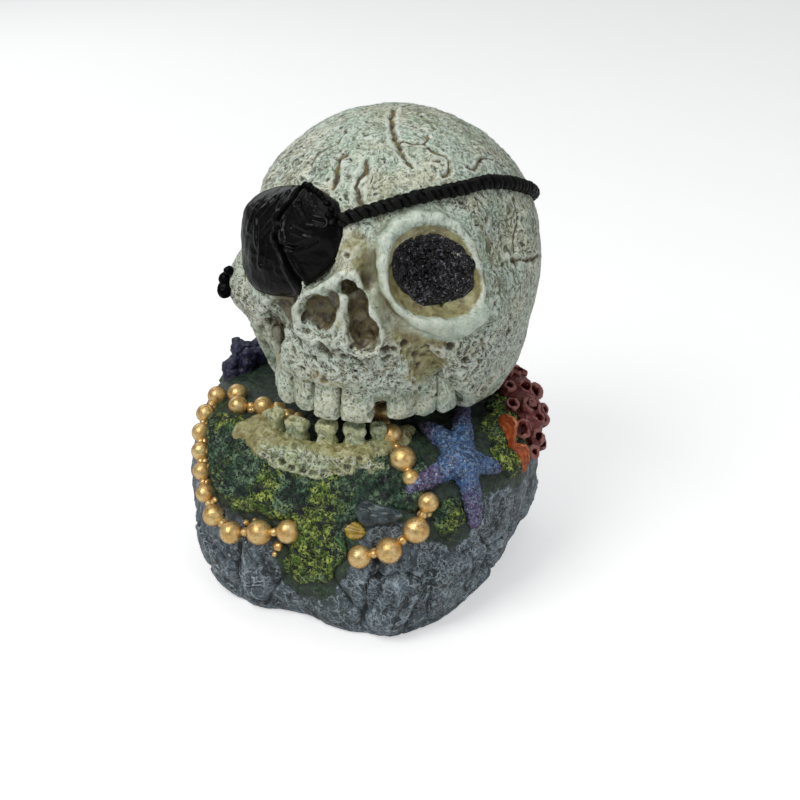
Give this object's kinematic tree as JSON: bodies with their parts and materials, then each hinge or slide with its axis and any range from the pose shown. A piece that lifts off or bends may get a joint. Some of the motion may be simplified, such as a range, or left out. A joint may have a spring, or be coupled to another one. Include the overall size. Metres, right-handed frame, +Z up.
{
  "type": "bubbling aquarium ornament",
  "caption": "Air-operated aquarium ornament: a hollow skull with an eye patch, hinged at the back of a mossy rock, lifts its face as air collects inside it.",
  "frame": {"origin": "centre of the whole outline on the floor plane, level with the rock's flat rim", "axes": "+Z up, the skull's face looks along -Y, +X to the object's left"},
  "size_m": [0.0922, 0.0994, 0.1132],
  "materials": {
    "slate_resin": "matte cast resin, painted blue-grey slate with pale dry-brushed edges",
    "moss_resin": "matte cast resin, dark green with yellow-green tips",
    "bone_resin": "matte cast resin, pale mint ivory with olive and brown wash in the cracks",
    "old_bone_resin": "matte cast resin, olive-stained bone",
    "gilt_paint": "satin gold paint on cast resin",
    "starfish_paint": "matte blue and violet paint with pale stippling",
    "red_coral_paint": "matte red-brown paint",
    "orange_shell_paint": "matte orange paint",
    "blue_coral_paint": "matte blue-violet paint",
    "wet_slate_paint": "satin blue-grey paint",
    "yellow_shell_paint": "matte yellow and orange paint",
    "leaf_paint": "matte green paint",
    "black_gloss": "gloss black lacquer on cast resin",
    "black_grit": "black lacquered coarse grit",
    "stainless": "drawn stainless pin",
    "black_tube_plastic": "moulded black plastic",
    "clear_tube_plastic": "translucent extruded tube"
  },
  "bodies": {
    "base": {"rock_base": "slate_resin", "moss_front": "moss_resin", "moss_right": "moss_resin", "moss_rear": "moss_resin", "lower_jaw": "old_bone_resin", "lower_teeth": "bone_resin", "gilt_beads_left": "gilt_paint", "gilt_beads_right": "gilt_paint", "bead_links": "gilt_paint", "starfish": "starfish_paint", "tube_coral": "red_coral_paint", "bracket_shells": "orange_shell_paint", "branch_coral": "blue_coral_paint", "slate_chip": "wet_slate_paint", "scallop_shell": "yellow_shell_paint", "leaf": "leaf_paint", "hinge_bracket": "slate_resin", "hinge_pin": "stainless", "air_inlet": "black_tube_plastic", "air_elbow": "black_tube_plastic", "riser_tube": "clear_tube_plastic"},
    "skull": {"skull_shell": "bone_resin", "upper_teeth": "bone_resin", "eye_socket_lining": "black_grit", "eye_patch": "black_gloss", "patch_cord": "black_gloss", "hinge_lug": "bone_resin"}
  },
  "joints": [
    {"name": "skull_lift", "type": "hinge", "parent": "base", "child": "skull", "pos_m": [0.00368, 0.03056, 0.0475], "axis": [-1, 0, 0], "range_deg": [0, 20]}
  ]
}
